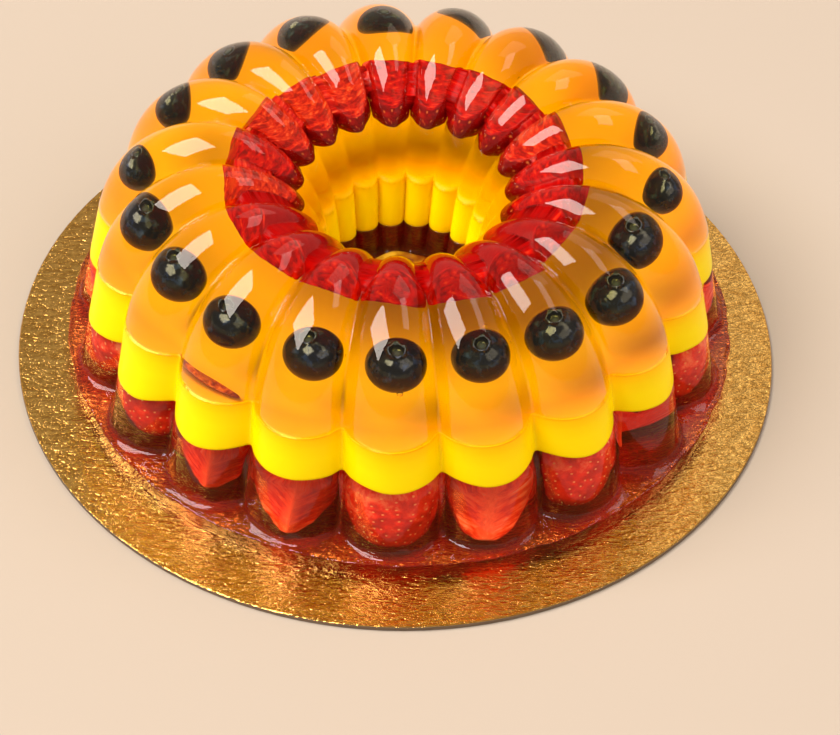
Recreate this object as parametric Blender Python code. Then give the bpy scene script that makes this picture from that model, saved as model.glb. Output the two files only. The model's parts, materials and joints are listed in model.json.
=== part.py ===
"""A fluted three-layer jelly ring, turned out of its mould on to a round gold cake board.

The ring stands on a low flat foot that fills the mould's flange. From the board up it is set
in three layers: clear red, opaque yellow and clear amber. The hole in the middle is the mark
of the mould's centre tube, which stops short of the rim, so it ends on a floor of red jelly.

Units are metres, +Z is up, and the origin is the middle of the board's underside.
"""
import math

import bmesh
import bpy
from mathutils import Vector
from mathutils.geometry import interpolate_bezier

MM = 0.001
GAP = 0.3 * MM                       # space left between pieces that touch

# The board
BOARD_RADIUS = 120.0 * MM
BOARD_THICKNESS = 1.8 * MM
BOARD_EDGE_ROUND = 0.3 * MM
BOARD_SIDES = 120

# Where the jelly's axis stands on the board: it was turned out a little off centre
AXIS_X = 0.9 * MM
AXIS_Y = 5.0 * MM

# The flutes
FLUTES = 19
FLUTE_PITCH = 2 * math.pi / FLUTES
COLUMNS_PER_FLUTE = 8                # how many flat strips make one flute's round

# Heights above the board's top
FOOT_EDGE_HEIGHT = 4.8 * MM
FOOT_TOP_HEIGHT = 5.8 * MM
FILLET_HEIGHT = 7.4 * MM
HOLE_FLOOR_HEIGHT = 16.5 * MM
HOLE_FILLET = 1.0 * MM
RED_TOP = 25.5 * MM                  # at the axis; the layer set on a slight slope
RED_SLOPE_X = 0.024
RED_SLOPE_Y = -0.040
YELLOW_TOP = 45.0 * MM
CREST_TOP = 80.0 * MM
VALLEY_TOP = 73.2 * MM

# Radii, each at the height where the crown's round begins, which is the yellow layer's top
FOOT_RADIUS = 105.5 * MM
FOOT_FILLET = 0.9 * MM               # how far the fillet runs out over the foot
OUTER_CREST = 95.8 * MM
OUTER_VALLEY = 86.6 * MM
INNER_CREST = 24.0 * MM
INNER_VALLEY = 27.2 * MM
CROWN_RADIUS = 58.4 * MM             # from the axis to the top of the crown
OUTER_DRAFT = 0.17                   # how far the walls lean in for each unit of height
INNER_DRAFT = 0.13

# The crown's Bezier handles: how full its shoulders are
CREST_HANDLE = 18.5 * MM
VALLEY_HANDLE = 13.0 * MM
CROWN_STEPS = 8                      # points on each half of the crown's outline

# The soft ring has settled: above SETTLE_FROM it leans to the front and is turned a little
SETTLE_FROM = 27.0 * MM
SETTLE_LEAN = -0.062                 # along Y, for each unit of height
SETTLE_TURN = math.radians(-0.032)   # for each millimetre of height


def clear_scene():
    for item in list(bpy.data.objects):
        bpy.data.objects.remove(item, do_unlink=True)


def make_material(name, colour, roughness, metallic=0.0):
    material = bpy.data.materials.new(name)
    material.use_nodes = True
    shader = material.node_tree.nodes["Principled BSDF"]
    shader.inputs["Base Color"].default_value = (*colour, 1.0)
    shader.inputs["Roughness"].default_value = roughness
    shader.inputs["Metallic"].default_value = metallic
    material.diffuse_color = (*colour, 1.0)
    return material


def arc_point(start, crest, end, along):
    """A point on the circle through three points: along is -1 at start, 0 at crest, 1 at end."""
    middle = (start + end) / 2
    half_chord = (end - start) / 2
    rise = crest - middle
    radius = (half_chord.length_squared + rise.length_squared) / (2 * rise.length)
    half_angle = math.atan2(half_chord.length, radius - rise.length)
    centre = crest - rise.normalized() * radius
    angle = half_angle * along
    return centre + radius * (math.cos(angle) * rise.normalized()
                              + math.sin(angle) * half_chord.normalized())


def around_axis(radius, height, turn):
    """A point at this radius from the jelly's axis; turn 0 is the front, towards -Y."""
    return Vector((AXIS_X + radius * math.sin(turn),
                   AXIS_Y - radius * math.cos(turn),
                   BOARD_THICKNESS + height))


def columns():
    """For each column, the turn of its flute's middle and its place across it, from -1 to 1."""
    for flute in range(FLUTES):
        for column in range(COLUMNS_PER_FLUTE):
            yield flute * FLUTE_PITCH, -1 + 2 * column / COLUMNS_PER_FLUTE


def fluted_ring(crest, valley):
    """One level of the fluted wall: crest and valley are (radius, height) in its section."""
    return [arc_point(around_axis(*valley, middle - FLUTE_PITCH / 2),
                      around_axis(*crest, middle),
                      around_axis(*valley, middle + FLUTE_PITCH / 2),
                      across)
            for middle, across in columns()]


def round_ring(radius, height):
    """A plain circle with as many points as a fluted ring."""
    return [around_axis(radius, height, middle + across * FLUTE_PITCH / 2)
            for middle, across in columns()]


def outer_wall(height, out=0.0):
    lean = (YELLOW_TOP - height) * OUTER_DRAFT + out
    return fluted_ring((OUTER_CREST + lean, height), (OUTER_VALLEY + lean, height))


def inner_wall(height, in_by=0.0):
    lean = (YELLOW_TOP - height) * INNER_DRAFT + in_by
    return fluted_ring((INNER_CREST - lean, height), (INNER_VALLEY - lean, height))


def on_slope(ring, draft):
    """The ring moved up or down its wall to lie on the red layer's sloping top."""
    moved = []
    for point in ring:
        across = Vector((point.x - AXIS_X, point.y - AXIS_Y, 0.0))
        rise = RED_SLOPE_X * across.x + RED_SLOPE_Y * across.y
        moved.append(point + draft * rise * across.normalized() + Vector((0.0, 0.0, rise)))
    return moved


def crown_outline(outer_radius, inner_radius, wall_height, top_height, handle):
    """The crown in section, from the outer wall over the top to the inner, as (radius, height)."""
    top = Vector((CROWN_RADIUS, top_height))
    level = Vector((handle, 0.0))
    outer = Vector((outer_radius, wall_height))
    inner = Vector((inner_radius, wall_height))
    up_outer = handle * Vector((-OUTER_DRAFT, 1.0))
    up_inner = handle * Vector((INNER_DRAFT, 1.0))
    rising = interpolate_bezier(outer, outer + up_outer, top + level, top, CROWN_STEPS)
    falling = interpolate_bezier(top, top - level, inner + up_inner, inner, CROWN_STEPS)
    return rising + falling[1:]


def crown_rings(wall_height):
    """The rings of the crown, from the outer wall over the top to the inner wall."""
    crest = crown_outline(OUTER_CREST, INNER_CREST, wall_height, CREST_TOP, CREST_HANDLE)
    valley = crown_outline(OUTER_VALLEY, INNER_VALLEY, wall_height, VALLEY_TOP, VALLEY_HANDLE)
    return [fluted_ring(tuple(c), tuple(v)) for c, v in zip(crest, valley)]


def settled(point):
    """Where a point of the moulded ring lies once the ring has settled on the board."""
    above = max(0.0, point.z - BOARD_THICKNESS - SETTLE_FROM)
    turn = SETTLE_TURN * above / MM
    x = point.x - AXIS_X
    y = point.y - AXIS_Y
    return Vector((AXIS_X + x * math.cos(turn) - y * math.sin(turn),
                   AXIS_Y + x * math.sin(turn) + y * math.cos(turn) + SETTLE_LEAN * above,
                   point.z))


def skin(name, rings, material, ring_shaped):
    """A closed solid through rings: round through the hole, or capped at both ends."""
    mesh = bmesh.new()
    loops = [[mesh.verts.new(settled(point)) for point in ring] for ring in rings]
    pairs = list(zip(loops, loops[1:]))
    if ring_shaped:
        pairs.append((loops[-1], loops[0]))
    for lower, upper in pairs:
        for here in range(len(lower)):
            after = (here + 1) % len(lower)
            mesh.faces.new((lower[here], lower[after], upper[after], upper[here]))
    if not ring_shaped:
        for loop in (loops[0], loops[-1]):
            centre = mesh.verts.new(sum((v.co for v in loop), Vector()) / len(loop))
            for here in range(len(loop)):
                mesh.faces.new((loop[here], loop[(here + 1) % len(loop)], centre))
    bmesh.ops.recalc_face_normals(mesh, faces=mesh.faces)
    data = bpy.data.meshes.new(name)
    mesh.to_mesh(data)
    mesh.free()
    data.materials.append(material)
    data.shade_smooth()
    data.set_sharp_from_angle(angle=math.radians(40))
    piece = bpy.data.objects.new(name, data)
    bpy.context.collection.objects.link(piece)
    return piece


def make_board():
    """A disc of card laminated with gold foil."""
    bpy.ops.mesh.primitive_cylinder_add(vertices=BOARD_SIDES, radius=BOARD_RADIUS,
                                        depth=BOARD_THICKNESS,
                                        location=(0, 0, BOARD_THICKNESS / 2))
    board = bpy.context.active_object
    board.name = "cake_board"
    board.data.materials.append(make_material("gold foil card", (0.72, 0.50, 0.16), 0.3, 1.0))
    edge = board.modifiers.new("edge", "BEVEL")
    edge.width = BOARD_EDGE_ROUND
    edge.segments = 1
    edge.limit_method = "ANGLE"
    board.data.shade_smooth()
    board.data.set_sharp_from_angle(angle=math.radians(30))


def make_red_layer():
    """The bottom layer: the flat foot, the wall above it, and the floor of the hole."""
    rings = [
        round_ring(FOOT_RADIUS, GAP),
        round_ring(FOOT_RADIUS, FOOT_EDGE_HEIGHT),
        outer_wall(FOOT_TOP_HEIGHT, out=FOOT_FILLET),
        outer_wall(FILLET_HEIGHT),
        on_slope(outer_wall(RED_TOP), -OUTER_DRAFT),
        on_slope(inner_wall(RED_TOP), INNER_DRAFT),
        inner_wall(HOLE_FLOOR_HEIGHT + HOLE_FILLET),
        inner_wall(HOLE_FLOOR_HEIGHT, in_by=HOLE_FILLET),
    ]
    skin("jelly_red", rings, make_material("red jelly", (0.35, 0.01, 0.01), 0.08), False)


def make_yellow_layer():
    """The middle layer: a band right across the ring, thicker where the red layer is low."""
    bottom = RED_TOP + GAP
    rings = [
        on_slope(outer_wall(bottom), -OUTER_DRAFT),
        outer_wall(YELLOW_TOP),
        inner_wall(YELLOW_TOP),
        on_slope(inner_wall(bottom), INNER_DRAFT),
    ]
    skin("jelly_yellow", rings, make_material("yellow jelly", (0.95, 0.68, 0.0), 0.15), True)


def make_amber_layer():
    """The top layer: the rounded crown of the ring."""
    rings = crown_rings(YELLOW_TOP + GAP)
    skin("jelly_amber", rings, make_material("amber jelly", (0.85, 0.35, 0.01), 0.08), True)


clear_scene()
make_board()
make_red_layer()
make_yellow_layer()
make_amber_layer()
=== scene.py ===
# %% [markdown]
# # A layered jelly ring on a gold cake board
# The CAD part gives the true size and place of the board and of the three jelly layers. This
# lesson gives them their looks: wet clear jelly with real depth, an opaque layer between, fruit
# sunk in it, and a crinkled foil board. Everything is placed from the CAD part's own boxes.

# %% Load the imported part
import json
import math
import random

import bmesh
import bpy
from mathutils import Matrix, Vector, noise

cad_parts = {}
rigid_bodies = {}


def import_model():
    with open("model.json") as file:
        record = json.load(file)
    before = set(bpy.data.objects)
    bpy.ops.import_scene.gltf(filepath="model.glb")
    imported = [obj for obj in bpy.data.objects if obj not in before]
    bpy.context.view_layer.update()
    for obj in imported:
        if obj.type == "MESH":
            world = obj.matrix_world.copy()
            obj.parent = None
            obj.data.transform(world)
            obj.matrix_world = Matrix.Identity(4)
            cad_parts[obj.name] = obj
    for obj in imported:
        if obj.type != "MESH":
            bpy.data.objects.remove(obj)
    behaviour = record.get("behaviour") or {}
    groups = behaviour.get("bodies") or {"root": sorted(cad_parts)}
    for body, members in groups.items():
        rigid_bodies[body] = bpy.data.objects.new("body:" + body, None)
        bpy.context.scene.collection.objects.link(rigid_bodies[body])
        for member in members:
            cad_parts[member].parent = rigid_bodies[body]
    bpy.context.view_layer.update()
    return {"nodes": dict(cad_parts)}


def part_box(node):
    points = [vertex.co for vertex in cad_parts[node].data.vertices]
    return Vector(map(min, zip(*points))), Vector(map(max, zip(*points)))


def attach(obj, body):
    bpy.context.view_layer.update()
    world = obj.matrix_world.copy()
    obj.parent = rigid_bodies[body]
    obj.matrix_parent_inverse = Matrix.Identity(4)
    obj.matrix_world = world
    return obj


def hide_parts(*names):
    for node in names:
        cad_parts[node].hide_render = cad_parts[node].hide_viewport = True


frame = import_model()

# %% [markdown]
# ## Sizes that come from the frame
# Nothing is measured twice. The jelly's axis is the middle of the red layer's round foot, and the
# levels where the layers meet are the tops and bottoms of the CAD nodes.

# %% Read the levels and the axis
MM = 0.001
FLUTES = 19
PITCH = 2 * math.pi / FLUTES
BOARD_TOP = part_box("cake_board")[1].z
BOARD_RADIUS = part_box("cake_board")[1].x
RED_LOW, RED_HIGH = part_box("jelly_red")
YELLOW_LOW, YELLOW_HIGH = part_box("jelly_yellow")
AMBER_LOW, AMBER_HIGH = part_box("jelly_amber")
AXIS = Vector(((RED_LOW.x + RED_HIGH.x) / 2, (RED_LOW.y + RED_HIGH.y) / 2, 0.0))
print("axis", AXIS, "yellow top", YELLOW_HIGH.z, "crown top", AMBER_HIGH.z)

# %% [markdown]
# ## Small tools for working as by hand
# Operators act on whatever is selected, so each step first opens one piece alone in edit mode with
# nothing selected. Parts of a mesh are then picked by a test on their place or normal.


# %% Open, pick and close
def open_mesh(piece, kind="VERT"):
    """Opens one piece in edit mode, with nothing selected."""
    if bpy.context.object and bpy.context.object.mode != "OBJECT":
        bpy.ops.object.mode_set(mode="OBJECT")
    for item in bpy.context.view_layer.objects:
        item.select_set(False)
    piece.select_set(True)
    bpy.context.view_layer.objects.active = piece
    bpy.ops.object.mode_set(mode="EDIT")
    bpy.ops.mesh.select_mode(type=kind)
    bpy.ops.mesh.select_all(action="DESELECT")


def pick(piece, kind, test):
    """Selects only the verts, edges or faces that pass a test, and returns how many there are."""
    bpy.ops.mesh.select_all(action="DESELECT")
    mesh = bmesh.from_edit_mesh(piece.data)
    mesh.normal_update()
    chosen = [part for part in getattr(mesh, kind) if test(part)]
    for part in chosen:
        part.select_set(True)
    mesh.select_flush_mode()
    bmesh.update_edit_mesh(piece.data)
    return len(chosen)


def close_mesh():
    bpy.ops.object.mode_set(mode="OBJECT")


def middle(part):
    """The middle of an edge or a face."""
    return sum((v.co for v in part.verts), Vector()) / len(part.verts)


def off_axis(point):
    """How far a point is from the jelly's axis."""
    return math.hypot(point.x - AXIS.x, point.y - AXIS.y)


def turn_of(point):
    """The turn about the jelly's axis: 0 at the front, growing to the right."""
    return math.atan2(point.x - AXIS.x, AXIS.y - point.y)


def apply_modifier(piece, kind, **settings):
    """Adds a modifier and applies it."""
    modifier = piece.modifiers.new(kind.lower(), kind)
    for name, value in settings.items():
        setattr(modifier, name, value)
    bpy.context.view_layer.objects.active = piece
    bpy.ops.object.modifier_apply(modifier=modifier.name)


# %% [markdown]
# ## Colours and nodes
# Colours are written as the hex values one would pick on a screen, and one function turns them
# into the linear light that shaders need. One more function adds any node with its settings, and
# another ends a material with the surface that most of them share.


# %% Colour and node helpers
def linear(hex_colour):
    """An sRGB hex colour as linear red, green, blue and alpha."""
    parts = [int(hex_colour[i:i + 2], 16) / 255 for i in (1, 3, 5)]
    return tuple(p / 12.92 if p <= 0.04045 else ((p + 0.055) / 1.055) ** 2.4 for p in parts) + (1,)


def new_material(name):
    material = bpy.data.materials.new(name)
    material.use_nodes = True
    material.node_tree.nodes.clear()
    return material


def add(material, kind, settings=None, links=None):
    """Adds a node. Settings are its properties or sockets; links are socket: (node, output)."""
    tree = material.node_tree
    node = tree.nodes.new("ShaderNode" + kind)
    for name, value in (settings or {}).items():
        if isinstance(name, str) and hasattr(node, name):
            setattr(node, name, value)
        else:
            node.inputs[name].default_value = value
    for name, (source, output) in (links or {}).items():
        tree.links.new(source.outputs[output], node.inputs[name])
    return node


def surface(material, settings, links=None):
    """Ends a material with one Principled surface, and returns the material."""
    body = add(material, "BsdfPrincipled", settings, links)
    add(material, "OutputMaterial", {}, {"Surface": (body, "BSDF")})
    return material


def ramp(material, stops, source, output):
    """A colour ramp with stops of (place, hex colour)."""
    node = add(material, "ValToRGB", {}, {"Fac": (source, output)})
    while len(node.color_ramp.elements) < len(stops):
        node.color_ramp.elements.new(0.5)
    for element, (place, colour) in zip(node.color_ramp.elements, stops):
        element.position = place
        element.color = linear(colour)
    return node


# %% [markdown]
# ## Camera, floor and light
# A long lens from 45 degrees above keeps the ring's far side almost as large as its near side.
# The light is a small studio: a big soft box high on the left in front, which draws the one large
# window on every flute, a smaller one on the right, a card behind the ring that gives the foil
# something to mirror, and a pale room all around that keeps the shadows soft. The wide fill on the
# right lights the matt parts only: as a reflection it would lay a grey veil over the clear jelly.

# %% Camera
ELEVATION = 45.25
DISTANCE = 1.18
ROLL = 2.18
LENS = 157.3
AIM = Vector((7.92, 0.0, -9.55)) * MM
tilt = Matrix.Rotation(math.radians(90 - ELEVATION), 4, "X")
roll = Matrix.Rotation(math.radians(ROLL), 4, "Z")
camera_data = bpy.data.cameras.new("camera")
camera_data.lens = LENS
camera = bpy.data.objects.new("camera", camera_data)
bpy.context.collection.objects.link(camera)
camera.matrix_world = Matrix.Translation(AIM) @ tilt @ roll @ Matrix.Translation((0, 0, DISTANCE))
bpy.context.scene.camera = camera
bpy.context.scene.view_settings.view_transform = "Standard"
print("camera at", camera.location)


# %% Soft boxes
def soft_box(name, azimuth, elevation, width, height, radiance, colour, spin=0.0, distance=4.0):
    """A square lamp that faces the jelly. Azimuth 0 is behind it, and grows to the right."""
    a, e = math.radians(azimuth), math.radians(elevation)
    out = Vector((math.sin(a) * math.cos(e), math.cos(a) * math.cos(e), math.sin(e)))
    data = bpy.data.lights.new(name, "AREA")
    data.shape = "RECTANGLE"
    data.size, data.size_y = width, height
    data.energy = radiance * math.pi * width * height
    data.color = linear(colour)[:3]
    lamp = bpy.data.objects.new(name, data)
    facing = out.to_track_quat("Z", "Y").to_matrix().to_4x4()
    lamp.matrix_world = (Matrix.Translation(out * distance) @ facing
                         @ Matrix.Rotation(math.radians(spin), 4, "Z"))
    bpy.context.collection.objects.link(lamp)
    return lamp


soft_box("key", -104, 58, 3.4, 2.7, 12.8, "#fff4e8", spin=12)
soft_box("strip", 66, 54, 2.4, 1.1, 3.0, "#fff0e6")
soft_box("card", 26, 43, 2.2, 2.4, 0.9, "#ffeedd")
fill = soft_box("fill", 115, 42, 5.0, 3.0, 2.4, "#fff0e6")
fill.visible_glossy = False

world = bpy.data.worlds.new("room")
world.use_nodes = True
world.node_tree.nodes["Background"].inputs["Color"].default_value = linear("#ffeedd")
world.node_tree.nodes["Background"].inputs["Strength"].default_value = 0.34
bpy.context.scene.world = world

cycles = bpy.context.scene.cycles
cycles.caustics_reflective = False
cycles.caustics_refractive = False
cycles.transparent_max_bounces = 32
cycles.max_bounces = 16
cycles.transmission_bounces = 16

# %% Floor
bpy.ops.mesh.primitive_plane_add(size=8, location=(0, 0, -0.02 * MM))
floor = bpy.context.active_object
floor.name = "floor"
paper = new_material("matt peach paper")
floor.data.materials.append(surface(paper, {"Base Color": linear("#9d9388"), "Roughness": 0.9}))

# %% [markdown]
# ## Clear jelly
# Gelatine jelly is a little denser than water, so light bends in it by an index near 1.39, and it
# takes its colour from depth: thin parts are pale and thick parts are deep. That is a
# transmission shader with an absorbing volume, not a tinted surface. Lamps can't find their way
# through bent glass in a short render, so rays from lamps and from matt surfaces go straight
# through the skin and are only coloured by the depth that they cross.


# %% Clear jelly material
JELLY_IOR = 1.39


def clear_jelly(name, absorbs, density, lets_in, film, haze, hazy):
    """Clear gelatine. Each metre takes away density times the colour's shortfall from white.

    The film is the melt water that makes a turned-out jelly glisten. Gelatine is never quite
    clear either: haze is the colour of the little light that its cloudiness turns back.

    The bent surface also keeps some of the lamps' light out; lets_in is the part that enters.
    """
    material = new_material(name)
    skin = add(material, "BsdfPrincipled", {"Base Color": (1, 1, 1, 1), "IOR": JELLY_IOR,
                                            "Roughness": 0.0, "Transmission Weight": 1.0,
                                            "Coat Weight": film, "Coat IOR": 1.4,
                                            "Coat Roughness": 0.0})
    cloudiness = add(material, "BsdfDiffuse", {"Color": linear(haze)})
    cloudy = add(material, "MixShader", {"Fac": hazy}, {1: (skin, "BSDF"), 2: (cloudiness, "BSDF")})
    open_way = add(material, "BsdfTransparent", {"Color": (lets_in, lets_in, lets_in, 1)})
    path = add(material, "LightPath")
    lamps = add(material, "MixShader", {}, {"Fac": (path, "Is Shadow Ray"), 1: (cloudy, "Shader"),
                                            2: (open_way, "BSDF")})
    both = add(material, "MixShader", {}, {"Fac": (path, "Is Diffuse Ray"), 1: (lamps, "Shader"),
                                           2: (open_way, "BSDF")})
    depth = add(material, "VolumeAbsorption", {"Color": absorbs, "Density": density})
    add(material, "OutputMaterial", {}, {"Surface": (both, "Shader"), "Volume": (depth, "Volume")})
    return material


AMBER_JELLY = clear_jelly("amber gelatine jelly", (0.978, 0.938, 0.0, 1), 160, 0.85, 0.15,
                          "#f0a000", 0.0)
RED_JELLY = clear_jelly("cherry gelatine jelly", (0.988, 0.57, 0.35, 1), 150, 1.0, 0.0,
                        "#b4502c", 0.09)


# %% Milk jelly material
PAINTED_SHADE_DEPTH = 9 * MM                  # how far down the walls the painted shade reaches


def milk_jelly():
    """Opaque yellow gelatine with milk: light goes a little way in and comes out again.

    Its colour holds painted shade: deeper orange towards the top of its walls and towards both
    rims of its flat top.
    """
    material = new_material("yellow milk jelly")
    place = add(material, "TexCoord")
    parts = add(material, "SeparateXYZ", {}, {"Vector": (place, "Object")})
    height = add(material, "MapRange", {"From Min": YELLOW_HIGH.z - PAINTED_SHADE_DEPTH,
                                        "From Max": YELLOW_HIGH.z}, {"Value": (parts, "Z")})
    # Painted shade: the walls turn deeper orange towards their top.
    wall = ramp(material, [(0.0, "#ffdd00"), (0.5, "#ffd400"), (0.85, "#ffc400"),
                           (1.0, "#ffac00")], height, "Result")
    flat = add(material, "CombineXYZ", {}, {"X": (parts, "X"), "Y": (parts, "Y")})
    out = add(material, "VectorMath", {"operation": "DISTANCE", 1: AXIS}, {0: (flat, "Vector")})
    across = add(material, "MapRange", {"From Min": 30 * MM, "From Max": 92 * MM},
                 {"Value": (out, "Value")})
    # Painted shade: the flat top turns deeper orange at the hole's rim and at the outer rim.
    top = ramp(material, [(0.05, "#ffa400"), (0.25, "#ffd200"), (0.66, "#fccc00"),
                          (0.9, "#e49600")], across, "Result")
    is_top = add(material, "Math", {"operation": "GREATER_THAN", 1: 0.995}, {0: (height, "Result")})
    painted_shade = add(material, "Mix", {"data_type": "RGBA"},
                 {0: (is_top, "Value"), 6: (wall, "Color"), 7: (top, "Color")})
    return surface(material, {
        "Roughness": 0.3, "IOR": JELLY_IOR, "Specular IOR Level": 0.12,
        "Subsurface Weight": 0.5, "Subsurface Radius": (1.0, 0.9, 0.3),
        "Subsurface Scale": 2 * MM}, {"Base Color": (painted_shade, 2)})


YELLOW_JELLY = milk_jelly()


# %% [markdown]
# ## The jelly's skins
# The CAD layers already have the right form, only in flat facets. So each layer starts as a copy
# of its CAD node: its loose triangles are merged and joined to quads, the folds between the flutes
# get a narrow round, edges that must stay sharp are creased, and a Subdivision Surface rounds the rest.


# %% Copy a layer
def skin_from(node, name):
    """A copy of a CAD node as a new piece: merged, and made of quads."""
    piece = bpy.data.objects.new(name, frame["nodes"][node].data.copy())
    bpy.context.collection.objects.link(piece)
    piece.data.materials.clear()
    open_mesh(piece)
    bpy.ops.mesh.select_all(action="SELECT")
    bpy.ops.mesh.remove_doubles(threshold=0.001 * MM)
    bpy.ops.mesh.mark_sharp(clear=True)
    bpy.ops.mesh.tris_convert_to_quads(face_threshold=math.radians(60),
                                       shape_threshold=math.radians(180))
    close_mesh()
    print(name, "starts with", len(piece.data.polygons), "faces")
    return piece


def crease_edges(piece, test, amount):
    """Creases the edges that pass a test, so that subdivision keeps them sharper."""
    pick(piece, "edges", test)
    bpy.ops.transform.edge_crease(value=amount)


def is_valley(edge):
    """True for the folds between the flutes."""
    return edge.is_manifold and edge.calc_face_angle_signed(0.0) < math.radians(-25)


def round_valleys(piece):
    """Gives the folds between the flutes a narrow round, which draws a thin bright line."""
    folds = pick(piece, "edges", is_valley)
    bpy.ops.mesh.bevel(offset_type="PERCENT", offset_pct=32, segments=2, clamp_overlap=True)
    print(folds, "fold edges rounded")


def finish_skin(piece, material, slot, *nodes):
    """Smooth shading, material, a place on the frame's root body, and the CAD nodes it replaces hidden.
    """
    piece.data.materials.append(material)
    piece.data.shade_smooth()
    piece.data.set_sharp_from_angle(angle=math.radians(50))
    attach(piece, "root")
    if nodes:
        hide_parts(*nodes)
    print(piece.name, len(piece.data.polygons), "faces")


# %% [markdown]
# ## The amber crown
# In the mould the amber jelly was poured first and crept up the wall as it set, so the ring wears a
# thin amber skin over the shoulder of the yellow layer. The crown's lower edge is drawn down by
# that much and then turned in under the yellow's surface, so that no air shows between the two.

# %% Amber crown
MENISCUS = 0.6 * MM
CREEP = 1.6 * MM                     # how much further down it went inside the hole
OVERLAP = 0.35 * MM
OUTER_DRAFT = 0.17
INNER_DRAFT = 0.13
CROWN_RADIUS = 58.4 * MM

amber = skin_from("jelly_amber", "amber_jelly")
amber_foot = AMBER_LOW.z + 0.1 * MM
drop = AMBER_LOW.z - (YELLOW_HIGH.z - MENISCUS)
open_mesh(amber)
pick(amber, "verts", lambda v: v.co.z < amber_foot)
bpy.ops.transform.translate(value=(0, 0, -drop))
lowered = AMBER_LOW.z - drop + 0.1 * MM
for outside, draft, radius in ((True, OUTER_DRAFT, 92 * MM), (False, -INNER_DRAFT, 26 * MM)):
    pick(amber, "verts", lambda v: v.co.z < lowered and (off_axis(v.co) > CROWN_RADIUS) == outside)
    grow = 1 + draft * drop / radius
    bpy.ops.transform.resize(value=(grow, grow, 1), center_override=AXIS)
pick(amber, "verts", lambda v: v.co.z < lowered and off_axis(v.co) < CROWN_RADIUS)
bpy.ops.transform.translate(value=(0, 0, -CREEP))
grow = 1 - INNER_DRAFT * CREEP / (26 * MM)
bpy.ops.transform.resize(value=(grow, grow, 1), center_override=AXIS)
bpy.ops.mesh.select_mode(type="FACE")
pick(amber, "faces", lambda f: f.normal.z < -0.99 and middle(f).z < lowered)
bpy.ops.mesh.inset(thickness=OVERLAP, depth=OVERLAP)
bpy.ops.mesh.select_mode(type="EDGE")
for level in (lowered, lowered - CREEP):
    crease_edges(amber, lambda e: abs(middle(e).z - level) < 0.15 * MM
                 and max(v.co.z for v in e.verts) < level, 1.0)
round_valleys(amber)
close_mesh()
apply_modifier(amber, "SUBSURF", levels=2, render_levels=2)
finish_skin(amber, AMBER_JELLY, "amber_jelly", "jelly_amber")

# %% [markdown]
# ## The yellow layer
# Its walls come from the CAD node. Its flat top and bottom are taken off and bridged again, so
# that they are clean quads, and the top edges get the rounded shoulder that the amber skin covers.

# %% Yellow layer
SHOULDER = 0.5 * MM
INNER_SHOULDER = 2.4 * MM            # the edge in the hole is rounder
YELLOW_MIDDLE = 34 * MM              # between its top edges and its bottom ones

yellow = skin_from("jelly_yellow", "yellow_jelly")
open_mesh(yellow, "FACE")
pick(yellow, "faces", lambda f: abs(f.normal.z) > 0.99)
bpy.ops.mesh.delete(type="FACE")
bpy.ops.mesh.select_mode(type="EDGE")
for level in (True, False):
    pick(yellow, "edges", lambda e: e.is_boundary
         and (middle(e).z > YELLOW_HIGH.z - 0.1 * MM) == level)
    bpy.ops.mesh.bridge_edge_loops()
bpy.ops.mesh.select_all(action="SELECT")
bpy.ops.mesh.normals_make_consistent(inside=False)
for outside, shoulder in ((True, SHOULDER), (False, INNER_SHOULDER)):
    pick(yellow, "edges", lambda e: min(v.co.z for v in e.verts) > YELLOW_HIGH.z - 0.1 * MM
         and abs(e.calc_face_angle(0)) > math.radians(60)
         and (off_axis(middle(e)) > CROWN_RADIUS) == outside)
    bpy.ops.mesh.bevel(offset=shoulder, segments=4, profile=0.5, clamp_overlap=False)
for outside, edge_round in ((True, 0.5 * MM), (False, 1.2 * MM)):
    pick(yellow, "edges", lambda e: middle(e).z < YELLOW_MIDDLE
         and e.calc_face_angle(0) > math.radians(60)
         and (off_axis(middle(e)) > CROWN_RADIUS) == outside)
    bpy.ops.mesh.bevel(offset=edge_round, segments=2, clamp_overlap=True)
round_valleys(yellow)
close_mesh()
apply_modifier(yellow, "SUBSURF", levels=2, render_levels=2)

# %% [markdown]
# ## Where the yellow sags over the red
# The yellow was poured on fruit that stood proud of the red layer, so its lower edge isn't level: it
# hangs lower over some flutes, and is a little wavy everywhere.

# %% Sagging edge
YELLOW_BOTTOM = 25.8 * MM            # above the board, at the axis
RED_SLOPE_X = 0.024
RED_SLOPE_Y = -0.040
SAG = {-4: 1.5, -3: 2.0, -2: 1.5, 0: 0.5, 1: 1.3, 2: 1.7, 3: 1.5, 4: 1.2}   # mm, by flute
SAG_REACH = 6 * MM                   # how far up the wall the sag is felt


def above_red(point):
    """How far a point is above the sloping plane on which the yellow layer stands."""
    slope = RED_SLOPE_X * (point.x - AXIS.x) + RED_SLOPE_Y * (point.y - AXIS.y)
    return point.z - BOARD_TOP - (YELLOW_BOTTOM + slope)


def sag(point):
    """How far the edge hangs down at this turn."""
    turn = turn_of(point) / PITCH
    flute = round(turn)
    rounded = math.cos(math.pi * (turn - flute)) ** 2
    return (SAG.get(flute, 0.0) * rounded + 0.5 * noise.noise(point / (9 * MM)) + 0.3) * MM


for vert in yellow.data.vertices:
    radius = off_axis(vert.co)
    if radius > 84 * MM and above_red(vert.co) < SAG_REACH:
        down = sag(vert.co) * min(1.0, (SAG_REACH - above_red(vert.co)) / (5 * MM))
        grow = 1 + (OUTER_DRAFT * down + 0.1 * max(0.0, down)) / radius
        vert.co.x = AXIS.x + (vert.co.x - AXIS.x) * grow
        vert.co.y = AXIS.y + (vert.co.y - AXIS.y) * grow
        vert.co.z -= down
finish_skin(yellow, YELLOW_JELLY, "yellow_jelly", "jelly_yellow")

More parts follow.
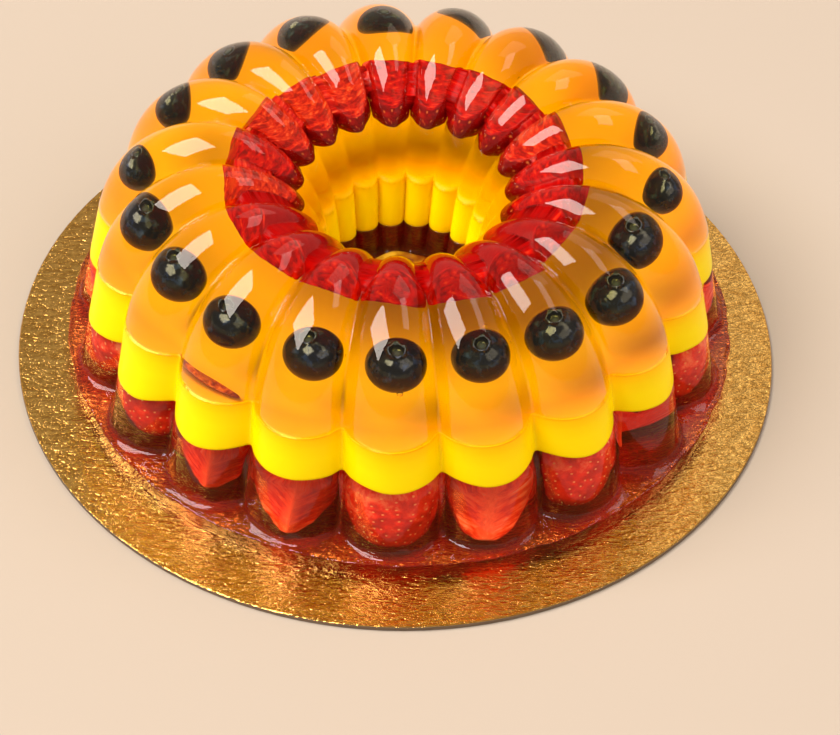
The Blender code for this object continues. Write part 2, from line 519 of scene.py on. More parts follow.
# %% [markdown]
# ## The red layer
# Clear jelly that only touches its neighbours would show a sheet of air, so this layer reaches a
# little way up into the opaque yellow and down into the board. Where it goes up its wall is drawn
# in, so that the yellow's own wall stays in front. The foot keeps crisp edges: its rings are
# bevelled before the subdivision, which is what draws the thin bright arc at the foot of each flute.

# %% Red layer
RED_UP = 1.2 * MM
RED_IN = 0.4 * MM
FOOT_EDGE_TOP = 6 * MM               # just under the foot's upper edge
FOOT_TOP = 10 * MM                   # just over the fillet at the foot of the wall
HOLE_TOP = 21 * MM                   # between the hole's floor and the layer's top


def is_foot_ring(edge):
    """True for the level edges of the fillet between the foot and the wall."""
    level = abs(edge.verts[0].co.z - edge.verts[1].co.z) < 0.01 * MM
    return FOOT_EDGE_TOP < middle(edge).z < FOOT_TOP and level


red = skin_from("jelly_red", "red_jelly")
open_mesh(red, "FACE")
pick(red, "faces", lambda f: f.normal.z < -0.99)
bpy.ops.mesh.delete(type="FACE")
pick(red, "faces", lambda f: f.normal.z > 0.99 and middle(f).z > FOOT_TOP)
bpy.ops.mesh.delete(type="FACE")
bpy.ops.mesh.select_mode(type="EDGE")
for outside, grow in ((True, 1 - RED_IN / (95 * MM)), (False, 1 + RED_IN / (27 * MM))):
    pick(red, "edges", lambda e: e.is_boundary and middle(e).z > HOLE_TOP
         and (off_axis(middle(e)) > CROWN_RADIUS) == outside)
    bpy.ops.transform.translate(value=(0, 0, RED_UP))
    bpy.ops.transform.resize(value=(grow, grow, 1), center_override=AXIS)
pick(red, "edges", lambda e: e.is_boundary and middle(e).z > HOLE_TOP)
bpy.ops.mesh.bridge_edge_loops()
pick(red, "edges", lambda e: e.is_boundary and middle(e).z < FOOT_TOP)
bpy.ops.transform.translate(value=(0, 0, -0.6 * MM))
bpy.ops.mesh.edge_face_add()
pick(red, "edges", lambda e: e.is_boundary and middle(e).z > FOOT_TOP)
bpy.ops.mesh.edge_face_add()
bpy.ops.mesh.select_all(action="SELECT")
bpy.ops.mesh.normals_make_consistent(inside=False)
crease_edges(red, lambda e: e.is_manifold and abs(e.calc_face_angle(0)) > math.radians(60)
             and not (FOOT_EDGE_TOP < middle(e).z < 20 * MM), 1.0)
round_valleys(red)
rings = pick(red, "edges", is_foot_ring)
bpy.ops.mesh.bevel(offset=0.35 * MM, segments=2, clamp_overlap=False)
crease_edges(red, is_foot_ring, 0.5)
close_mesh()
apply_modifier(red, "SUBSURF", levels=2, render_levels=2)
print(rings, "ring edges on the foot")

# %% [markdown]
# The foot filled the thin gap under the mould's rim, so its edge is ragged: it is pushed in and out
# by noise at two sizes, and raised into the small torn lip that glints in a broken double line.

# %% Ragged edge of the foot
FOOT_EDGE = 102.5 * MM
for vert in red.data.vertices:
    radius = off_axis(vert.co)
    if radius > FOOT_EDGE:
        wide = noise.noise(vert.co / (9 * MM)) - 0.3
        fine = noise.noise(vert.co / (2.2 * MM))
        out = (0.7 * wide + 0.3 * fine) * MM * min(1.0, (radius - FOOT_EDGE) / (2 * MM))
        vert.co.x += (vert.co.x - AXIS.x) / radius * out
        vert.co.y += (vert.co.y - AXIS.y) / radius * out
        lip = min(1.0, max(0.0, radius - 104 * MM) / MM) * (0.55 + 0.9 * fine)
        if vert.co.z > BOARD_TOP + 3.5 * MM:
            vert.co.z += 0.5 * MM * lip
        if vert.co.z > BOARD_TOP + 3 * MM:
            vert.co.z += 0.06 * MM * (noise.noise(vert.co / (6 * MM) + Vector((7, 0, 0))) - 0.4)
finish_skin(red, RED_JELLY, "red_jelly", "jelly_red")

# %% [markdown]
# ## The cake board
# Cake boards are card laminated with gold plastic foil. The laminating rollers leave fine crossing
# crinkles a millimetre or two long, so the foil is nearly a mirror but breaks up what it reflects.
# The cut edge and the underside are bare grey-brown card, told apart here by height.


# %% Gold foil on card
def foil_on_card():
    material = new_material("gold foil laminated on card")
    place = add(material, "TexCoord")
    stretched = add(material, "Mapping", {"Scale": (0.4, 1.0, 1.0)}, {"Vector": (place, "Object")})
    crinkle = add(material, "TexNoise", {"Scale": 1 / (1.2 * MM), "Detail": 3, "Roughness": 0.6},
                  {"Vector": (stretched, "Vector")})
    swell = add(material, "TexNoise", {"Scale": 1 / (14 * MM), "Detail": 2},
                {"Vector": (place, "Object")})
    waves = add(material, "Bump", {"Strength": 0.5, "Distance": 0.5 * MM}, {"Height": (swell, "Fac")})
    bump = add(material, "Bump", {"Strength": 1.0, "Distance": 0.48 * MM},
               {"Height": (crinkle, "Fac"), "Normal": (waves, "Normal")})
    height = add(material, "SeparateXYZ", {}, {"Vector": (place, "Object")})
    is_foil = add(material, "Math", {"operation": "GREATER_THAN", 1: BOARD_TOP - 0.28 * MM},
                  {0: (height, "Z")})
    # Painted shade in the crinkles: the gold is darker in their hollows and lighter on their crests.
    gold = ramp(material, [(0.36, "#dba550"), (0.64, "#fccb70")], crinkle, "Fac")
    colour = add(material, "Mix", {"data_type": "RGBA", 6: linear("#6a5745")},
                 {0: (is_foil, "Value"), 7: (gold, "Color")})
    rough = add(material, "MapRange", {"To Min": 0.8, "To Max": 0.08}, {"Value": (is_foil, "Value")})
    return surface(material, {}, {
        "Base Color": (colour, 2), "Metallic": (is_foil, "Value"), "Roughness": (rough, "Result"),
        "Normal": (bump, "Normal")})


board = frame["nodes"]["cake_board"]
board.data.materials.clear()
board.data.materials.append(foil_on_card())
print("board radius", BOARD_RADIUS)

# %% [markdown]
# ## Places in the ring
# Fruit is placed by flute, by distance from the axis and by height above the board. The soft
# ring has settled: above a certain height it leans to the front and is turned a little, and the
# fruit goes with it.

# %% A place in the ring
SETTLE_FROM = 27 * MM
SETTLE_LEAN = -0.062
SETTLE_TURN = math.radians(-0.032) / MM


def ring_place(flute, radius, height, side=0.0, yaw=0.0, tip_out=0.0, roll=0.0):
    """The matrix that moves a piece from the origin into a flute. Its own -Y then faces out."""
    above = max(0.0, height - SETTLE_FROM)
    turn = flute * PITCH + side / radius + SETTLE_TURN * above
    spot = Vector((AXIS.x + radius * math.sin(turn),
                   AXIS.y - radius * math.cos(turn) + SETTLE_LEAN * above,
                   BOARD_TOP + height))
    return (Matrix.Translation(spot) @ Matrix.Rotation(turn, 4, "Z")
            @ Matrix.Rotation(math.radians(tip_out), 4, "X")
            @ Matrix.Rotation(math.radians(roll), 4, "Y")
            @ Matrix.Rotation(math.radians(yaw), 4, "Z"))


def turned(name, outline, sides):
    """A round piece drawn up ring by ring through outline points of (radius, height)."""
    bpy.ops.mesh.primitive_circle_add(vertices=sides, radius=outline[0][0], fill_type="NGON")
    piece = bpy.context.active_object
    piece.name = name
    open_mesh(piece)
    bpy.ops.mesh.select_all(action="SELECT")
    bpy.ops.transform.translate(value=(0, 0, outline[0][1]))
    for (r0, z0), (r1, z1) in zip(outline, outline[1:]):
        bpy.ops.mesh.extrude_region_move(TRANSFORM_OT_translate={"value": (0, 0, z1 - z0)})
        bpy.ops.transform.resize(value=(r1 / r0, r1 / r0, 1), center_override=(0, 0, z1))
    bpy.ops.mesh.select_all(action="SELECT")
    bpy.ops.mesh.normals_make_consistent(inside=False)
    close_mesh()
    return piece


def keep_own_place(piece):
    """Stores each point's place on the piece itself, for patterns that must travel with it."""
    own = piece.data.attributes.new("own", "FLOAT_VECTOR", "POINT")
    for point, vert in zip(own.data, piece.data.vertices):
        point.vector = vert.co


def copy_to(piece, place):
    """A copy with a mesh of its own, moved into place."""
    copy = piece.copy()
    copy.data = piece.data.copy()
    copy.data.transform(place)
    bpy.context.collection.objects.link(copy)
    return copy


def join(name, pieces):
    """Joins pieces into one that rides on the frame."""
    for item in bpy.context.view_layer.objects:
        item.select_set(False)
    for piece in pieces:
        piece.select_set(True)
    bpy.context.view_layer.objects.active = pieces[0]
    bpy.ops.object.join()
    joined = bpy.context.active_object
    joined.name = name
    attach(joined, "root")
    print(name, len(joined.data.polygons), "faces")
    return joined


# %% [markdown]
# ## Blueberries
# A blueberry is a ball that is a little flat, with a five-lobed crown around a shallow crater. It
# is drawn up ring by ring like a pot, and the rim of the crown is then pushed into lobes. Under
# jelly its skin hardly mirrors anything, because the light comes from a medium almost as dense.

# %% One blueberry
BERRY_RADIUS = 8.2 * MM
BERRY_SQUASH = 0.92


def blueberry_skin():
    """Blue-black fruit skin with patches of thin grey-blue wax bloom."""
    material = new_material("blueberry skin")
    own = add(material, "Attribute", {"attribute_name": "own"})
    cloud = add(material, "TexNoise", {"Scale": 1 / (3.5 * MM), "Detail": 5, "Roughness": 0.65},
                {"Vector": (own, "Vector")})
    skin = ramp(material, [(0.42, "#030408"), (0.54, "#0a0e1c"), (0.63, "#1a2642"),
                           (0.78, "#3c4c78")], cloud, "Fac")
    parts = add(material, "SeparateXYZ", {}, {"Vector": (own, "Vector")})
    flat = add(material, "CombineXYZ", {}, {"X": (parts, "X"), "Y": (parts, "Y")})
    out = add(material, "VectorMath", {"operation": "LENGTH"}, {0: (flat, "Vector")})
    above = add(material, "Math", {"operation": "GREATER_THAN", 1: 5 * MM}, {0: (parts, "Z")})
    jagged = add(material, "Math", {"operation": "MULTIPLY_ADD", 1: 1.6 * MM},
                 {0: (cloud, "Fac"), 2: (out, "Value")})
    ring = add(material, "MapRange", {"From Min": 0.8 * MM, "From Max": 4.8 * MM},
               {"Value": (jagged, "Value")})
    calyx = ramp(material, [(0.1, "#343c54"), (0.35, "#15171f"), (0.45, "#030305"),
                            (0.57, "#060608"), (0.62, "#50587a"), (0.66, "#2a2c34"),
                            (0.7, "#030304")], ring, "Result")
    edge = add(material, "MapRange", {"From Min": 0.75, "From Max": 0.9, "To Min": 1.0,
                                      "To Max": 0.0}, {"Value": (ring, "Result")})
    is_calyx = add(material, "Math", {"operation": "MULTIPLY"},
                   {0: (above, "Value"), 1: (edge, "Result")})
    colour = add(material, "Mix", {"data_type": "RGBA"},
                 {0: (is_calyx, "Value"), 6: (skin, "Color"), 7: (calyx, "Color")})
    bump = add(material, "Bump", {"Strength": 0.2, "Distance": 0.3 * MM}, {"Height": (cloud, "Fac")})
    return surface(material, {"Roughness": 0.08, "Specular IOR Level": 0.35},
                   {"Base Color": (colour, 2), "Normal": (bump, "Normal")})


def blueberry_outline():
    """The ball from its stem end up to the crown, then over the rim and down into the crater."""
    ball = []
    for step in range(1, 14):
        angle = math.radians(12 * step)
        ball.append((BERRY_RADIUS * math.sin(angle), -BERRY_RADIUS * BERRY_SQUASH * math.cos(angle)))
    top = BERRY_RADIUS * BERRY_SQUASH
    crown = [(3.0, -0.3), (3.1, 0.5), (2.6, 0.8), (2.2, -0.2), (1.7, -1.3), (0.9, -1.5), (0.3, -1.4)]
    return ball + [(r * MM, top + z * MM) for r, z in crown]


blueberry = turned("blueberry", blueberry_outline(), 30)
rim_low = BERRY_RADIUS * BERRY_SQUASH - 0.1 * MM
for vert in blueberry.data.vertices:
    if vert.co.z > rim_low:
        lobe = 1 - 2 * abs(math.sin(2.5 * math.atan2(vert.co.y, vert.co.x)))
        vert.co.z += 0.6 * MM * lobe
        vert.co.x *= 1 + 0.22 * lobe
        vert.co.y *= 1 + 0.22 * lobe
blueberry.data.materials.append(blueberry_skin())
blueberry.data.shade_smooth()
apply_modifier(blueberry, "SUBSURF", levels=1, render_levels=1)
keep_own_place(blueberry)
print("one blueberry", len(blueberry.data.polygons), "faces")

# %% [markdown]
# Each flute of the mould got one berry, dropped in by hand before the amber jelly was poured. They
# lie just under the skin, and a few slid out of line: those get a nudge of their own, in
# millimetres outwards, upwards and sideways. A Shrinkwrap modifier in Inside mode then keeps all of
# them under the amber's skin.

# %% Blueberries in the crown
chance = random.Random(19)
BERRY_OUT = 77.6 * MM
BERRY_HEIGHT = 62.6 * MM
BERRY_NUDGES = {0: (-1, 1, 1.5), 1: (-1.5, 1.5, 1.5), 2: (-1, 1, 0.5), 4: (-4, 3, -2.5), 5: (1, 1, -2),
                6: (2.5, -0.5, -1.5), 7: (4, -2.5, -1), 8: (4, -2, -2), 9: (1, 1, -2.5),
                10: (-7.5, 7, -1.5), 11: (-3.5, 5, 0.5), 12: (-1, 3, 1), 13: (1, 1, 0), 14: (4, -2, 1),
                15: (1.5, -1, 0), 18: (-1, 0.5, 2)}
berries = []
for flute in range(FLUTES):
    out, up, side = BERRY_NUDGES.get(flute, (0, 0, 0))
    spot = ring_place(flute, BERRY_OUT + out * MM, BERRY_HEIGHT + up * MM, side=side * MM,
                      yaw=chance.uniform(0, 360), tip_out=4 + chance.uniform(-9, 9),
                      roll=chance.uniform(-12, 12))
    size = chance.uniform(0.93, 1.02) * (0.82 if 5 <= flute <= 14 else 1.0)
    berries.append(copy_to(blueberry, spot @ Matrix.Scale(size, 4)))
bpy.data.objects.remove(blueberry)
blueberries = join("blueberries", berries)
apply_modifier(blueberries, "SHRINKWRAP", target=amber, wrap_method="NEAREST_SURFACEPOINT",
               wrap_mode="INSIDE", offset=0.3 * MM)

# %% [markdown]
# ## Strawberry pieces
# Each piece starts as a whole strawberry, drawn up ring by ring from its tip, and is then cut with
# Bisect, which also fills the cut. The cut faces get the flesh and the rest keeps its skin. Real
# ones are never quite round, so a Displace modifier with a soft cloud pattern dents them.


# %% Strawberry skin and flesh
def strawberry_skin(dark, middle_red, pale, seed, seed_gap=2.6 * MM, depth=0.6):
    """Thin red skin, paler up at the shoulder, with straw-coloured seeds that sit in dimples."""
    material = new_material("strawberry skin")
    own = add(material, "Attribute", {"attribute_name": "own"})
    parts = add(material, "SeparateXYZ", {}, {"Vector": (own, "Vector")})
    around = add(material, "Math", {"operation": "ARCTAN2"}, {0: (parts, "Y"), 1: (parts, "X")})
    wrapped = add(material, "Math", {"operation": "MULTIPLY", 1: 7 * MM}, {0: (around, "Value")})
    flat = add(material, "CombineXYZ", {}, {"X": (wrapped, "Value"), "Y": (parts, "Z")})
    seeds = add(material, "TexVoronoi", {"voronoi_dimensions": "2D", "Scale": 1 / seed_gap,
                                         "Randomness": 0.6}, {"Vector": (flat, "Vector")})
    cloud = add(material, "TexNoise", {"Scale": 1 / (5 * MM), "Detail": 5, "Roughness": 0.65},
                {"Vector": (own, "Vector")})
    ripe = add(material, "MapRange", {"From Min": 9 * MM, "From Max": 26 * MM, "To Min": -0.08,
                                      "To Max": 0.2}, {"Value": (parts, "Z")})
    flushed = add(material, "Math", {"operation": "ADD"}, {0: (cloud, "Fac"), 1: (ripe, "Result")})
    flush = ramp(material, [(0.38, dark), (0.55, middle_red), (0.72, pale)], flushed, "Value")
    is_seed = add(material, "MapRange", {"From Min": 0.06, "From Max": 0.12, "To Min": 0.85,
                                         "To Max": 0.0}, {"Value": (seeds, "Distance")})
    colour = add(material, "Mix", {"data_type": "RGBA", 7: linear(seed)},
                 {0: (is_seed, "Result"), 6: (flush, "Color")})
    dimple = add(material, "MapRange", {"From Min": 0.1, "From Max": 0.45, "To Min": 0.0,
                                        "To Max": 1.0, "interpolation_type": "SMOOTHSTEP"},
                 {"Value": (seeds, "Distance")})
    bump = add(material, "Bump", {"Strength": depth, "Distance": 0.3 * MM},
               {"Height": (dimple, "Result")})
    return surface(material, {
        "Roughness": 0.25, "Specular IOR Level": 0.12, "Subsurface Weight": 0.15,
        "Subsurface Radius": (1.0, 0.2, 0.1), "Subsurface Scale": 1.5 * MM},
        {"Base Color": (colour, 2), "Normal": (bump, "Normal")})


def strawberry_flesh(name, stops, heart, rim, shine=0.12):
    """Wet flesh with paler fibres that run out from the core to the skin."""
    material = new_material(name)
    own = add(material, "Attribute", {"attribute_name": "own"})
    parts = add(material, "SeparateXYZ", {}, {"Vector": (own, "Vector")})
    flat = add(material, "CombineXYZ", {"Z": 0.0}, {"X": (parts, "X"), "Y": (parts, "Y")})
    out = add(material, "VectorMath", {"operation": "LENGTH"}, {0: (flat, "Vector")})
    rise = add(material, "Math", {"operation": "MULTIPLY_ADD", 1: -0.7},
               {0: (out, "Value"), 2: (parts, "Z")})
    around = add(material, "Math", {"operation": "ARCTAN2"}, {0: (parts, "Y"), 1: (parts, "X")})
    thick = add(material, "Math", {"operation": "MULTIPLY", 1: 3 * MM}, {0: (around, "Value")})
    reach = add(material, "Math", {"operation": "MULTIPLY", 1: 0.25}, {0: (out, "Value")})
    fibre_place = add(material, "CombineXYZ", {}, {"X": (rise, "Value"), "Y": (thick, "Value"),
                                                   "Z": (reach, "Value")})
    fibre = add(material, "TexNoise", {"Scale": 1 / (1.6 * MM), "Detail": 4, "Roughness": 0.65,
                                       "Distortion": 0.4}, {"Vector": (fibre_place, "Vector")})
    streaks = ramp(material, list(zip((0.38, 0.5, 0.6, 0.74), stops)), fibre, "Fac")
    core = add(material, "MapRange", {"From Min": 0.6 * MM, "From Max": 3.2 * MM, "To Min": 0.75,
                                      "To Max": 0.0}, {"Value": (out, "Value")})
    inner = add(material, "Mix", {"data_type": "RGBA", 7: linear(heart)},
                {0: (core, "Result"), 6: (streaks, "Color")})
    near_skin = add(material, "MapRange", {"From Min": 7.0 * MM, "From Max": 10.5 * MM, "To Min": 0.0,
                                           "To Max": 0.85}, {"Value": (out, "Value")})
    colour = add(material, "Mix", {"data_type": "RGBA", 7: linear(rim)},
                 {0: (near_skin, "Result"), 6: (inner, 2)})
    bump = add(material, "Bump", {"Strength": 0.5, "Distance": 0.4 * MM}, {"Height": (fibre, "Fac")})
    return surface(material, {
        "Roughness": 0.25, "Specular IOR Level": shine, "Subsurface Weight": 0.2,
        "Subsurface Radius": (1.0, 0.3, 0.15), "Subsurface Scale": 1.5 * MM},
        {"Base Color": (colour, 2), "Normal": (bump, "Normal")})


SKIN = strawberry_skin("#c01008", "#e83418", "#ffa878", "#ffd890")
TOP_SKIN = strawberry_skin("#6e0101", "#a80a06", "#e85a3c", "#c8642c", 4.5 * MM, 0.2)
FLESH = strawberry_flesh("strawberry flesh", ("#d03014", "#f06834", "#ff9c68", "#ffe8c8"), "#ffb488",
                         "#980c05")
TOP_FLESH = strawberry_flesh("red strawberry flesh", ("#7c0402", "#a81006", "#c42c14", "#e8704a"),
                             "#b83018", "#900802")
DEEP_FLESH = strawberry_flesh("ripe strawberry flesh", ("#6e0101", "#9a0301", "#b40902", "#d0401c"),
                              "#960401", "#860201", 0.05)


# %% A whole strawberry and its cuts
def strawberry_outline(length, radius, blunt):
    """Half of a strawberry in section, from its tip at height 0 to its shoulder."""
    widest = 0.78 * length
    outline = []
    for step in range(1, 12):
        height = length * (step / 11) ** 1.5
        if height < widest:
            out = radius * (1 - (1 - height / widest) ** 1.9) ** blunt
        else:
            out = radius * math.sqrt(1 - ((height - widest) / (1.35 * (length - widest))) ** 2)
        outline.append((out, height))
    return outline


def strawberry(length, radius, blunt, skin):
    """A whole strawberry with its tip at the origin and its shoulder up."""
    piece = turned("strawberry", strawberry_outline(length, radius, blunt), 20)
    piece.data.materials.append(skin)
    piece.data.materials.append(FLESH)
    piece.data.materials.append(DEEP_FLESH)
    piece.data.materials.append(TOP_FLESH)
    return piece


def cut(piece, point, outward, slot=1):
    """Cuts off all that lies beyond a plane, and gives the cut face the flesh."""
    open_mesh(piece, "FACE")
    bpy.ops.mesh.select_all(action="SELECT")
    bpy.ops.mesh.bisect(plane_co=point, plane_no=outward, use_fill=True, clear_outer=True)
    flesh = Vector(outward).normalized()
    pick(piece, "faces", lambda f: f.normal.dot(flesh) > 0.999
         and abs((middle(f) - Vector(point)).dot(flesh)) < 0.05 * MM)
    piece.active_material_index = slot
    bpy.ops.object.material_slot_assign()
    for ring in (0.9 * MM, 1.6 * MM):
        bpy.ops.mesh.inset(thickness=ring)
    close_mesh()


lumps = bpy.data.textures.new("soft lumps", "CLOUDS")
lumps.noise_scale = 7 * MM
lumps.noise_depth = 2


def soften(piece):
    """Rounds the cut's edges, dents the fruit, and stores the places that the patterns need."""
    open_mesh(piece)
    bpy.ops.mesh.select_all(action="SELECT")
    bpy.ops.mesh.remove_doubles(threshold=0.25 * MM)
    close_mesh()
    apply_modifier(piece, "SUBSURF", levels=2, render_levels=2)
    apply_modifier(piece, "DISPLACE", texture=lumps, strength=1.6 * MM, mid_level=0.5)
    keep_own_place(piece)
    piece.data.shade_smooth()
    print("one strawberry piece", len(piece.data.polygons), "faces")


# %% [markdown]
# ## Strawberries in the crown
# One half lies in each flute with its tip towards the hole. Those at the back show their flat cut
# face, some of it veined with pale fibres; those at the front are plump and fill the flute from
# fold to fold, so together they make the red ring.

# %% Strawberries in the crown
TOP_LENGTH = 27 * MM
VEINED_FLUTES = (6, 11, 12, 13, 15)


def top_form(radius, blunt, skin, end, *cuts):
    """A half for the crown: its shoulder cut flat, then cut along its length."""
    form = strawberry(TOP_LENGTH, radius * MM, blunt, skin)
    cut(form, (0, 0, 0.93 * TOP_LENGTH), (0, 0.15, 1), end)
    for place, outward in cuts:
        cut(form, (0, place * MM, 0), outward, end)
    soften(form)
    return form


VEINED = top_form(10.0, 0.95, TOP_SKIN, 3, (4.2, (0, 1, 0.05)), (-5, (0, -1, 0)))
STREAKY = top_form(9.8, 0.85, TOP_SKIN, 2, (4.8, (0, 1, 0)), (-5, (0, -1, 0)))
RIPE = top_form(11.2, 0.42, DEEP_FLESH, 2, (-6, (0, -1, 0)))
tops = []
for flute in range(FLUTES):
    front = math.cos(flute * PITCH)
    form = RIPE if front > 0.35 else (VEINED if flute in VEINED_FLUTES else STREAKY)
    low = 0.5 * max(0.0, front)
    spot = ring_place(flute, (31.5 + 1.5 * low) * MM, (61 - low) * MM,
                      tip_out=62 + chance.uniform(-3, 3), yaw=chance.uniform(-9, 9),
                      roll=chance.uniform(-5, 5))
    wide, long = chance.uniform(0.97, 1.03), 0.96 + 0.12 * front
    tops.append(copy_to(form, spot @ Matrix.Diagonal((wide, 1, long, 1))))
for form in (VEINED, STREAKY, RIPE):
    bpy.data.objects.remove(form)
crown_fruit = join("strawberries_in_crown", tops)

# %% [markdown]
# The fruit was packed in tightly and then pressed against the mould. A Shrinkwrap does the same
# here: whatever would stick out is laid flat just under the amber's skin.

# %% Press the fruit under the skin
apply_modifier(crown_fruit, "SHRINKWRAP", target=amber, wrap_method="NEAREST_SURFACEPOINT",
               wrap_mode="INSIDE", offset=0.5 * MM)
print("crown fruit top", max(v.co.z for v in crown_fruit.data.vertices))

# %% [markdown]
# ## Strawberries in the red layer
# Halves and quarters stand or lie in the flutes with a cut face or the skin to the outside. Each
# one is set one by one: its flute, kind, distance, height, turn, lean and roll. A second row
# behind them closes the gaps between the flutes.

# %% Forms for the red layer
LOW_LENGTH = 25 * MM


def low_form(radius, blunt, *cuts):
    """A piece with its shoulder trimmed and one or two long cuts, with its middle at the origin."""
    form = strawberry(LOW_LENGTH, radius * MM, blunt, SKIN)
    cut(form, (0, 0, 0.94 * LOW_LENGTH), (0, 0, 1))
    for place, outward in cuts:
        cut(form, (0, place * MM, 0), outward)
    soften(form)
    form.data.transform(Matrix.Translation((0, 0, -LOW_LENGTH / 2)))
    return form


HALF = low_form(10.5, 0.5, (-1, (0, -1, 0)))
PLUMP = low_form(11.5, 0.4, (3, (0, 1, 0.1)))
QUARTER = low_form(11.5, 0.55, (0, (1, -1, 0)), (0, (-1, -1, 0)))

# %% Strawberries in the red layer
LOW_PIECES = [
    (-5, HALF, 89, 13, 30, -20, 10),
    (-4, PLUMP, 86, 14, -25, -25, 25),
    (-3, PLUMP, 86, 17, 15, -15, -35),
    (-2, QUARTER, 88, 15, 20, -15, 0),
    (-1, QUARTER, 89, 13, 14, -30, 0),
    (0, PLUMP, 86, 13, 0, -22, 0),
    (1, HALF, 89, 14, -8, -28, 12),
    (2, PLUMP, 86, 14.5, 25, -35, 20),
    (3, QUARTER, 84, 18, 20, -15, 20),
    (4, PLUMP, 86, 15, 30, -10, 25),
    (5, HALF, 88, 14, -10, -15, -20),
    (6, HALF, 88, 13, 20, -10, 10),
    (7, QUARTER, 89, 14, 10, -10, 0),
    (8, PLUMP, 86, 14, 0, -60, 10),
    (9, HALF, 89, 13, 30, -15, 0),
    (10, QUARTER, 88, 13, -15, -10, 15),
    (11, PLUMP, 86, 14, 5, -50, -15),
    (12, HALF, 89, 14, -10, -20, 10),
    (13, QUARTER, 88, 13, 5, -8, 5),
]
lows = [copy_to(form, ring_place(flute, out * MM, height * MM, yaw=yaw, tip_out=tip, roll=roll))
        for flute, form, out, height, yaw, tip, roll in LOW_PIECES]
second = [copy_to((PLUMP, HALF)[step % 2],
                  ring_place(step + 0.5 + chance.uniform(-0.15, 0.15), 74 * MM, 13 * MM,
                             yaw=chance.uniform(-40, 40), tip_out=chance.uniform(-35, 10))
                  @ Matrix.Scale(0.95, 4))
          for step in range(FLUTES)]
for form in (HALF, PLUMP, QUARTER):
    bpy.data.objects.remove(form)
join("strawberries_in_red_layer", lows)
join("strawberries_behind", second)

# %% [markdown]
# ## Film on the floor of the hole
# A little yellow jelly ran down into the hole before the red had set, and left a thin uneven film
# on its floor. It is a flat puddle with a wandering edge, drawn in from a circle.


# %% Yellow film
def film_jelly():
    """Thin yellow jelly over red: brown where it is thinnest, gold and yellow where it gathers."""
    material = new_material("thin yellow jelly film")
    place = add(material, "TexCoord")
    cloud = add(material, "TexNoise", {"Scale": 1 / (7 * MM), "Detail": 4},
                {"Vector": (place, "Object")})
    colour = ramp(material, [(0.36, "#7a3a0a"), (0.5, "#b07814"), (0.64, "#e8b830")], cloud, "Fac")
    bump = add(material, "Bump", {"Strength": 0.6, "Distance": 0.6 * MM}, {"Height": (cloud, "Fac")})
    return surface(material, {"Roughness": 0.08, "IOR": JELLY_IOR},
                   {"Base Color": (colour, "Color"), "Normal": (bump, "Normal")})


HOLE_FLOOR = BOARD_TOP + 16.5 * MM
bpy.ops.mesh.primitive_circle_add(vertices=40, radius=19 * MM, fill_type="NGON",
                                  location=AXIS + Vector((0, 0, HOLE_FLOOR - 0.3 * MM)))
film = bpy.context.active_object
film.name = "yellow_film"
bpy.ops.object.transform_apply()
open_mesh(film)
bpy.ops.mesh.select_all(action="SELECT")
bpy.ops.mesh.extrude_region_move(TRANSFORM_OT_translate={"value": (0, 0, 0.6 * MM)})
bpy.ops.mesh.select_mode(type="FACE")
bpy.ops.mesh.inset(thickness=1.5 * MM, depth=0.2 * MM)
bpy.ops.mesh.inset(thickness=5 * MM)
bpy.ops.mesh.select_all(action="SELECT")
bpy.ops.mesh.normals_make_consistent(inside=False)
close_mesh()
for vert in film.data.vertices:
    wander = 1 + 0.12 * noise.noise(vert.co / (8 * MM))
    vert.co.x = AXIS.x + (vert.co.x - AXIS.x) * wander
    vert.co.y = AXIS.y + (vert.co.y - AXIS.y) * wander
apply_modifier(film, "SUBSURF", levels=2, render_levels=2)
film.data.materials.append(film_jelly())
film.data.shade_smooth()
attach(film, "root")
print("film", len(film.data.polygons), "faces")

# %% [markdown]
# ## Bubbles, drips and a sliver
# Pouring leaves bubbles: a few float in the amber and many cling under the edge of the yellow, where
# they glint. A bubble is air inside jelly, so its index is one over the jelly's.


# %% Bubbles
def air_in_jelly():
    material = new_material("air bubble in jelly")
    return surface(material, {"Base Color": (1, 1, 1, 1), "Roughness": 0.0,
                              "IOR": 1 / JELLY_IOR, "Transmission Weight": 1.0})


FOLD_RADIUS = 89.0                   # mm, of the wall just under the yellow
FLUTE_DEPTH = 9.2

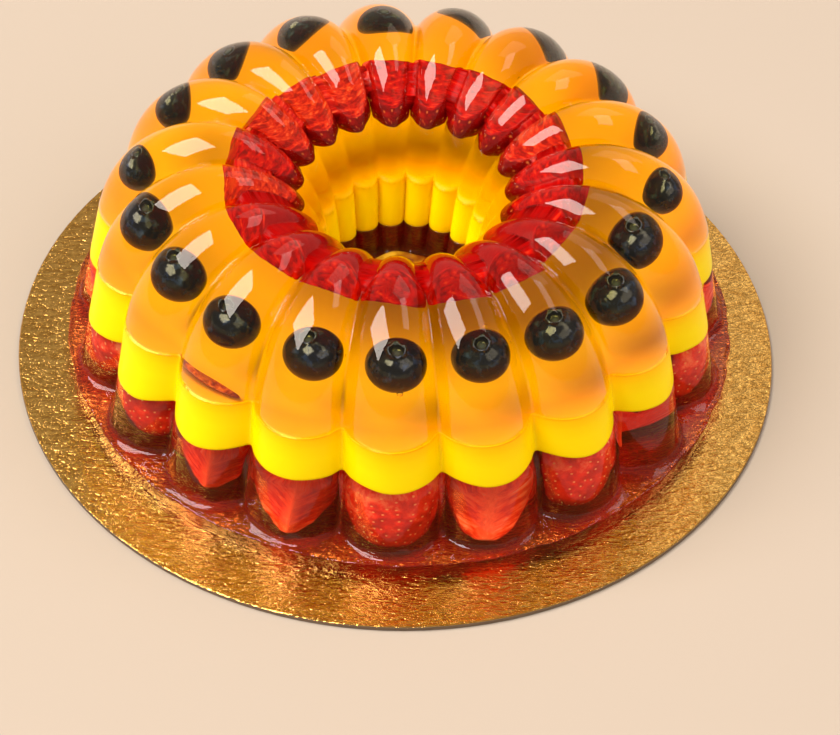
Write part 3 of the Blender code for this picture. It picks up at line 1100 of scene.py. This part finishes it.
bpy.ops.mesh.primitive_ico_sphere_add(subdivisions=3, radius=1 * MM)
bubble = bpy.context.active_object
bubble.data.materials.append(air_in_jelly())
bubble.data.shade_smooth()
bubbles = [copy_to(bubble, ring_place(0, 83 * MM, 58.5 * MM, side=2.5 * MM) @ Matrix.Scale(0.9, 4))]
for step in range(26):
    spot = ring_place(chance.uniform(0, FLUTES), chance.uniform(62, 76) * MM,
                      chance.uniform(50, 62) * MM)
    bubbles.append(copy_to(bubble, spot @ Matrix.Scale(chance.uniform(0.15, 0.4), 4)))
for step in range(76):
    flute = step / 4 + chance.uniform(-0.05, 0.05)
    across = flute - round(flute)
    wall = (FOLD_RADIUS + FLUTE_DEPTH * math.cos(math.pi * across)) * MM
    drift = wall * (RED_SLOPE_X * math.sin(flute * PITCH) - RED_SLOPE_Y * math.cos(flute * PITCH))
    spot = ring_place(flute, wall - chance.uniform(1.4, 2.2) * MM,
                      (24.9 - chance.uniform(0, 1.4)) * MM + drift)
    bubbles.append(copy_to(bubble, spot @ Matrix.Scale(chance.uniform(0.15, 0.4), 4)))
bpy.data.objects.remove(bubble)
join("bubbles", bubbles)

# %% [markdown]
# A thin sliver of strawberry floated up and was caught between the yellow and the amber in one
# flute, and a few drops of yellow found their way into the red layer.

# %% Sliver and drips
SLIVER_FLESH = strawberry_flesh("soaked strawberry flesh", ("#6a1c04", "#a83808", "#c85a10", "#e8962c"),
                                "#a04810", "#5c1402")
bpy.ops.mesh.primitive_uv_sphere_add(segments=32, ring_count=16, radius=1 * MM)
sliver = bpy.context.active_object
sliver.name = "strawberry_sliver"
sliver.data.materials.append(SLIVER_FLESH)
sliver.data.transform(Matrix.Diagonal((12, 2.0, 0.6, 1)))
apply_modifier(sliver, "DISPLACE", texture=lumps, strength=0.7 * MM, mid_level=0.5)
keep_own_place(sliver)
sliver.data.transform(ring_place(-2, 88.3 * MM, 47.4 * MM, side=-0.5 * MM, tip_out=-8, roll=5))
sliver.data.shade_smooth()
join("strawberry_sliver", [sliver])

bpy.ops.mesh.primitive_uv_sphere_add(segments=24, ring_count=12, radius=1 * MM)
drop = bpy.context.active_object
drop.data.materials.append(YELLOW_JELLY)
drop.data.shade_smooth()
drops = [copy_to(drop, ring_place(flute, out * MM, height * MM) @ Matrix.Diagonal((wide, 0.8, tall, 1)))
         for flute, out, height, wide, tall in ((4.8, 93.5, 24, 1.3, 1.5), (-4.9, 96, 23.5, 1.5, 2.2))]
bpy.data.objects.remove(drop)
join("yellow_drops", drops)
